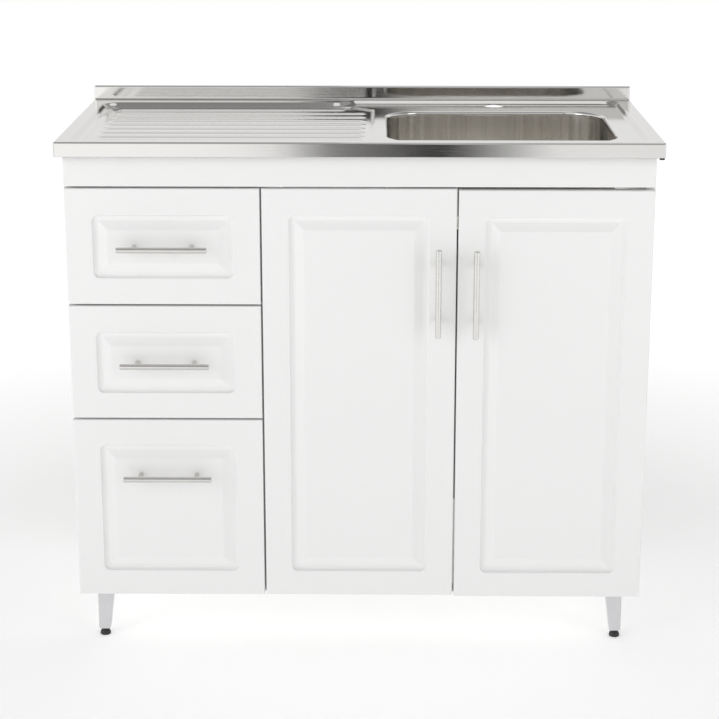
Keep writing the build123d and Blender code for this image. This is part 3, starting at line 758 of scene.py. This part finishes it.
def screw_head_tree():
    """Sets a cross-recessed screw head on each point, turned to the point's facing."""
    tree = bpy.data.node_groups.new("screw_heads", "GeometryNodeTree")
    tree.interface.new_socket("Seats", in_out="INPUT", socket_type="NodeSocketGeometry")
    for name, value in (
            ("Head Radius", 0.004), ("Head Height", 0.002), ("Crown", 0.4),
            ("Recess Radius", 0.0022), ("Recess Depth", 0.001)):
        tree.interface.new_socket(name, in_out="INPUT", socket_type="NodeSocketFloat").default_value = value
    tree.interface.new_socket("Plating", in_out="INPUT", socket_type="NodeSocketMaterial")
    tree.interface.new_socket("Screws", in_out="OUTPUT", socket_type="NodeSocketGeometry")
    new = tree.nodes.new
    link = tree.links.new
    given = new("NodeGroupInput")
    out = new("NodeGroupOutput")

    def maths(operation, first, second=None):
        node = new("ShaderNodeMath")
        node.operation = operation
        for socket, value in zip(node.inputs, (first, second)):
            if isinstance(value, (int, float)):
                socket.default_value = value
            elif value is not None:
                link(value, socket)
        return node.outputs["Value"]

    drum = new("GeometryNodeMeshCylinder")
    drum.fill_type = "TRIANGLE_FAN"
    dial(drum, {"Vertices": 16, "Side Segments": 1, "Fill Segments": 4})
    link(given.outputs["Head Radius"], drum.inputs["Radius"])
    link(given.outputs["Head Height"], drum.inputs["Depth"])
    where = new("GeometryNodeInputPosition")
    axis = new("ShaderNodeSeparateXYZ")
    link(where.outputs["Position"], axis.inputs["Vector"])
    x, y, z = (axis.outputs[name] for name in "XYZ")
    reach = maths("SQRT", maths("ADD", maths("MULTIPLY", x, x), maths("MULTIPLY", y, y)))
    share = maths("DIVIDE", reach, given.outputs["Head Radius"])
    crown = maths("MULTIPLY", given.outputs["Crown"], given.outputs["Head Height"])
    fall = maths("MULTIPLY", maths("MULTIPLY", share, share), crown)
    wing = maths("GREATER_THAN", maths("COSINE", maths("MULTIPLY", maths("ARCTAN2", y, x), 4.0)), 0.5)
    centre = maths("LESS_THAN", share, 0.05)
    inside = maths("LESS_THAN", reach, given.outputs["Recess Radius"])
    star = maths("MULTIPLY", maths("MAXIMUM", wing, centre), inside)
    cross = maths("MULTIPLY", star, given.outputs["Recess Depth"])
    upper = maths("GREATER_THAN", z, 0.0)
    shift = new("ShaderNodeCombineXYZ")
    link(maths("MULTIPLY", maths("MULTIPLY", upper, maths("ADD", fall, cross)), -1.0), shift.inputs["Z"])
    pressed = new("GeometryNodeSetPosition")
    link(drum.outputs["Mesh"], pressed.inputs["Geometry"])
    link(shift.outputs["Vector"], pressed.inputs["Offset"])
    rise = new("ShaderNodeCombineXYZ")
    link(maths("MULTIPLY", given.outputs["Head Height"], 0.5), rise.inputs["Z"])
    seated = new("GeometryNodeTransform")
    link(pressed.outputs["Geometry"], seated.inputs["Geometry"])
    link(rise.outputs["Vector"], seated.inputs["Translation"])
    facing = new("GeometryNodeInputNamedAttribute")
    facing.data_type = "FLOAT_VECTOR"
    dial(facing, {"Name": "facing"})
    turn = new("FunctionNodeAlignRotationToVector")
    turn.axis = "Z"
    link(facing.outputs["Attribute"], turn.inputs["Vector"])
    spread = new("GeometryNodeInstanceOnPoints")
    link(given.outputs["Seats"], spread.inputs["Points"])
    link(seated.outputs["Geometry"], spread.inputs["Instance"])
    link(turn.outputs["Rotation"], spread.inputs["Rotation"])
    real = new("GeometryNodeRealizeInstances")
    link(spread.outputs["Instances"], real.inputs["Geometry"])
    plated = new("GeometryNodeSetMaterial")
    link(real.outputs["Geometry"], plated.inputs["Geometry"])
    link(given.outputs["Plating"], plated.inputs["Material"])
    link(plated.outputs["Geometry"], out.inputs["Screws"])
    return tree


screw_heads = screw_head_tree()


def drive_screws(name, body, seats, radius, height, crown=0.4, material=zinc_plate):
    """One mesh of screw heads for a body; seats are (point, facing) in millimetres."""
    points = bpy.data.meshes.new(name)
    points.from_pydata([[c * 0.001 for c in point] for point, _ in seats], [], [])
    facing = points.attributes.new("facing", "FLOAT_VECTOR", "POINT")
    for item, (_, way) in zip(facing.data, seats):
        item.vector = way
    piece = bpy.data.objects.new(name, points)
    scene.collection.objects.link(piece)
    modifier = piece.modifiers.new("screw_heads", "NODES")
    modifier.node_group = screw_heads
    values = {
        "Head Radius": radius * 0.001, "Head Height": height * 0.001, "Crown": crown,
        "Recess Radius": radius * 0.00058, "Recess Depth": height * 0.0004, "Plating": material}
    for socket in screw_heads.interface.items_tree:
        if socket.in_out == "INPUT" and socket.name in values:
            modifier[socket.identifier] = values[socket.name]
    bpy.context.view_layer.update()
    made = bpy.data.meshes.new_from_object(piece.evaluated_get(bpy.context.evaluated_depsgraph_get()))
    piece.modifiers.clear()
    piece.data = made
    made.name = name
    if "facing" in made.attributes:
        made.attributes.remove(made.attributes["facing"])
    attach(piece, body)
    return piece


for front, ends in handle_places:
    drive_screws(f"{front}_handle_screws", front, [((x, front_back, z), (0, 1, 0)) for x, z in ends], 4.0, 2.4)

# --- Legs and feet -----------------------------------------------------------------------------
# Square legs tapered on their inner sides, lacquered white, screwed up into the base. Each
# stands on a black plastic glide with a rounded top.
# The legs' light grey-blue is their white lacquer darkened by painted shade, as they stand in the cabinet's shadow.
leg_lacquer = finish(
    "leg_lacquer", "leg_lacquer", (0.65, 0.65, 0.665), (0.28, 0.36), broad=12.0, fine=900.0,
    tone=0.01, bump=0.06, bump_depth=0.0001)
black_plastic = finish(
    "black_plastic", "black_plastic", (0.018, 0.018, 0.019), (0.38, 0.52), broad=40.0, fine=1600.0,
    tone=0.15, bump=0.15, bump_depth=0.0001)

ankle_width, leg_width = 0.020, 0.030
glide_rim, rim_height, glide_top, dome_drop = 13.0, 5.9, 9.5, 3.5
dome_rise = 8.0
arc = (dome_drop ** 2 + dome_rise ** 2) / (2 * dome_drop)
glide_profile = [(0, 0), (0, 7.5), (0.3, 8.6), (1.0, 9.3), (2.0, glide_top)]
for share in (0.25, 0.5, 0.75, 0.9):
    up = dome_rise * share
    glide_profile.append((2.0 + up, glide_top - arc + (arc ** 2 - up ** 2) ** 0.5))
glide_profile += [(10.0, 6.1), (10.3, rim_height), (glide_rim, rim_height), (glide_rim, 0)]

for end in ("front", "rear"):
    for side in ("left", "right"):
        name = f"{end}_{side}"
        low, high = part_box(f"{name}_leg")
        x_out, x_in = (low.x, 1) if side == "left" else (high.x, -1)
        y_out, y_in = (low.y, 1) if end == "front" else (high.y, -1)
        leg = bmesh.new()
        loops = []
        for width, z in ((ankle_width, low.z), (leg_width, high.z)):
            square = ((0, 0), (width, 0), (width, width), (0, width))
            loops.append([leg.verts.new((x_out + x_in * u, y_out + y_in * v, z)) for u, v in square])
        bridge(leg, loops[0], loops[1])
        leg.faces.new(loops[0])
        leg.faces.new(loops[1])
        bmesh.ops.recalc_face_normals(leg, faces=leg.faces)
        wrap(f"{name}_tapered_leg", leg, leg_lacquer, "root", [f"{name}_leg"], bevel=0.0018)
        low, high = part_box(f"{name}_foot")
        centre = (low + high) * 500
        glide = bmesh.new()
        turned(glide, (centre.x, centre.y, 0), (0, 0, 1), glide_profile)
        bmesh.ops.recalc_face_normals(glide, faces=glide.faces)
        wrap(f"{name}_glide", glide, black_plastic, "root", [f"{name}_foot"])


def dress(material, *names):
    """Gives a finished material to CAD pieces whose shape is right as it is."""
    for name in names:
        mesh = nodes[name].data
        mesh.materials.clear()
        mesh.materials.append(material)


dress(black_plastic, "lip_corner_pad")

# --- Carcass boards ----------------------------------------------------------------------------
# 15 mm chipboard with white melamine on both faces and white tape on the front edges; the rear
# edges are left raw. The back behind the drawers is hardboard, white on its inner face.


def board_finish(name, slot, raw_axis, raw_sign, raw_colours, flake):
    """White melamine or lacquer, with the raw board showing on the faces that point one way."""
    material = bpy.data.materials.new(name)
    material.use_nodes = True
    tree = material.node_tree
    new = tree.nodes.new
    link = tree.links.new
    shader = tree.nodes["Principled BSDF"]
    place = new("ShaderNodeTexCoord")
    parts = new("ShaderNodeSeparateXYZ")
    link(place.outputs["Normal"], parts.inputs["Vector"])
    raw = new("ShaderNodeMath")
    raw.operation = "MULTIPLY"
    raw.inputs[1].default_value = raw_sign
    link(parts.outputs[raw_axis], raw.inputs[0])
    mask = new("ShaderNodeMath")
    mask.operation = "GREATER_THAN"
    mask.inputs[1].default_value = 0.9
    link(raw.outputs["Value"], mask.inputs[0])
    chips = new("ShaderNodeTexVoronoi")
    dial(chips, {"Scale": flake})
    link(place.outputs["Object"], chips.inputs["Vector"])
    ramp = new("ShaderNodeValToRGB")
    ramp.color_ramp.elements[0].color = (*raw_colours[0], 1)
    ramp.color_ramp.elements[1].color = (*raw_colours[1], 1)
    link(chips.outputs["Color"], ramp.inputs["Fac"])
    uneven = new("ShaderNodeGroup")
    uneven.node_tree = unevenness
    dial(uneven, {"Fine Scale": 700.0})
    white = new("ShaderNodeMix")
    white.data_type = "RGBA"
    dial(white, {"A": (0.80, 0.80, 0.79, 1), "B": (0.84, 0.84, 0.83, 1)})
    link(uneven.outputs["Broad"], white.inputs["Factor"])
    colour = new("ShaderNodeMix")
    colour.data_type = "RGBA"
    link(mask.outputs["Value"], colour.inputs["Factor"])
    link(white.outputs["Result"], colour.inputs["A"])
    link(ramp.outputs["Color"], colour.inputs["B"])
    link(colour.outputs["Result"], shader.inputs["Base Color"])
    rough = new("ShaderNodeMapRange")
    dial(rough, {"To Min": 0.42, "To Max": 0.85})
    link(mask.outputs["Value"], rough.inputs["Value"])
    link(rough.outputs["Result"], shader.inputs["Roughness"])
    relief = new("ShaderNodeBump")
    dial(relief, {"Strength": 0.12, "Distance": 0.0002})
    link(uneven.outputs["Fine"], relief.inputs["Height"])
    link(relief.outputs["Normal"], shader.inputs["Normal"])
    material["slot"] = slot
    return material


chipboard = ((0.50, 0.36, 0.21), (0.30, 0.19, 0.10))
hardboard = ((0.24, 0.14, 0.075), (0.16, 0.09, 0.045))
melamine_board = board_finish("melamine_board", "carcass_board", "Y", 1.0, chipboard, 420.0)
drawer_melamine = board_finish("drawer_melamine", "carcass_board", "Z", -1.0, chipboard, 420.0)
hardboard_back = board_finish("hardboard_back", "white_hardboard", "Y", 1.0, hardboard, 900.0)
hardboard_bottom = board_finish("hardboard_bottom", "white_hardboard", "Z", -1.0, hardboard, 900.0)

for name in ("left_side_panel", "right_side_panel", "base_panel", "divider_panel", "rear_rail"):
    low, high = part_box(name)
    panel = bmesh.new()
    bmesh.ops.create_cube(panel, size=1.0)
    for v in panel.verts:
        v.co = Vector([low[i] + (v.co[i] + 0.5) * (high[i] - low[i]) for i in range(3)])
    wrap(f"{name}_melamine", panel, melamine_board, "root", [name], bevel=0.0005)

dress(hardboard_back, "back_panel")

low, high = (corner * 1000 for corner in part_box("back_panel"))
nail_inset, nail_rows = 7.5, 6
places = []
for i in range(nail_rows):
    z = low.z + 8 + i * (high.z - low.z - 16) / (nail_rows - 1)
    places += [(x, z) for x in (low.x + nail_inset, high.x - nail_inset)]
places += [(low.x + share * (high.x - low.x), low.z + nail_inset) for share in (0.33, 0.67)]
drive_screws("back_panel_nails", "root", [((x, high.y, z), (0, 1, 0)) for x, z in places], 2.2, 0.7, crown=0.7)

low, high = (corner * 1000 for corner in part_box("rear_rail"))
places = [(x, z) for x in (low.x + 24, high.x - 24) for z in (low.z + 25, high.z - 25)]
drive_screws("rear_rail_cams", "root", [((x, low.y, z), (0, -1, 0)) for x, z in places], 7.4, 0.6, crown=0.1)

# --- Drawer boxes ------------------------------------------------------------------------------
# Sides and back of 12 mm melamine board, screwed together and to the front, with a hardboard
# bottom that slides into grooves in the sides.
for drawer in ("top", "middle", "bottom"):
    dress(drawer_melamine, f"{drawer}_drawer_left_side", f"{drawer}_drawer_right_side", f"{drawer}_drawer_back")
    dress(hardboard_bottom, f"{drawer}_drawer_bottom")
    seats = []
    for side, way in (("left", -1), ("right", 1)):
        low, high = (corner * 1000 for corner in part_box(f"{drawer}_drawer_{side}_side"))
        x = low.x if way < 0 else high.x
        seats += [((x, high.y - 6, z), (way, 0, 0)) for z in (low.z + 42, high.z - 20)]
    drive_screws(f"{drawer}_drawer_box_screws", f"{drawer}_drawer", seats, 3.6, 0.7, crown=0.2)

# --- Roller runners ----------------------------------------------------------------------------
# Folded steel strips with a white epoxy coat: a channel on the cabinet with a roller at its
# front, and a strip under the drawer's side with a roller at its rear.
runner_steel = finish(
    "runner_steel", "runner_steel", (0.78, 0.77, 0.74), (0.32, 0.42), broad=15.0, fine=1200.0,
    tone=0.01, bump=0.12, bump_depth=0.0001)
roller_nylon = finish(
    "roller_nylon", "roller_nylon", (0.62, 0.62, 0.58), (0.40, 0.52), broad=60.0, fine=1500.0,
    tone=0.02, bump=0.06, bump_depth=0.0001)

channel_web, strip_screw_inset = 1.2, 12.9
for drawer in ("top", "middle", "bottom"):
    dress(runner_steel, f"{drawer}_cabinet_runners", f"{drawer}_drawer_runners")
    dress(roller_nylon, f"{drawer}_front_rollers", f"{drawer}_rear_rollers")
    low, high = (corner * 1000 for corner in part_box(f"{drawer}_cabinet_runners"))
    z = (low.z + high.z) / 2
    places = (low.y + 60, (low.y + high.y) / 2, high.y - 40)
    seats = [((low.x + channel_web, y, z), (1, 0, 0)) for y in places]
    seats += [((high.x - channel_web, y, z), (-1, 0, 0)) for y in places]
    drive_screws(f"{drawer}_channel_screws", "root", seats, 3.4, 0.7, crown=0.2)
    low, high = (corner * 1000 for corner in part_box(f"{drawer}_drawer_runners"))
    rows = (low.x + strip_screw_inset, high.x - strip_screw_inset)
    seats = [((x, y, low.z), (0, 0, -1)) for x in rows for y in places]
    drive_screws(f"{drawer}_strip_screws", f"{drawer}_drawer", seats, 3.4, 0.9, crown=0.3)

# --- Hinges ------------------------------------------------------------------------------------
# Concealed cup hinges of nickel-plated steel: a cup let into the door, a cranked arm that turns
# on a pin through it, and a mounting plate screwed to the panel.
hinge_steel = finish(
    "hinge_steel", "hinge_steel", (0.68, 0.66, 0.62), (0.18, 0.28), metallic=1.0,
    broad=30.0, fine=1200.0, tone=0.04, bump=0.05, bump_depth=0.00005)

carcass_face = front_back + 2.0
for side, way, panel_x in (("left", 1, -155.8333), ("right", -1, 475.0)):
    dress(hinge_steel, f"{side}_door_hinge_cups", f"{side}_door_hinge_pins", f"{side}_door_hinge_arms")
    low, high = (corner * 1000 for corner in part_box(f"{side}_door_panel"))
    cup_x = (low.x if side == "left" else high.x) + way * cup_inset
    cup_screws, plate_screws, arm_screws = [], [], []
    for z in (low.z + cup_height, high.z - cup_height):
        cup_screws += [((cup_x, front_back + 0.8, z + dz), (0, 1, 0)) for dz in (-22.5, 22.5)]
        plate_screws += [((panel_x + way * 6.0, carcass_face + 39, z + dz), (way, 0, 0)) for dz in (-17, 17)]
        arm_screws += [((panel_x + way * 8.0, carcass_face + dy, z), (way, 0, 0)) for dy in (30, 50)]
    drive_screws(f"{side}_door_cup_screws", f"{side}_door", cup_screws, 3.5, 1.1, crown=0.3)
    drive_screws(f"{side}_door_plate_screws", "root", plate_screws, 3.8, 1.4, crown=0.4)
    drive_screws(f"{side}_door_arm_screws", "root", arm_screws, 3.4, 0.8, crown=0.2)
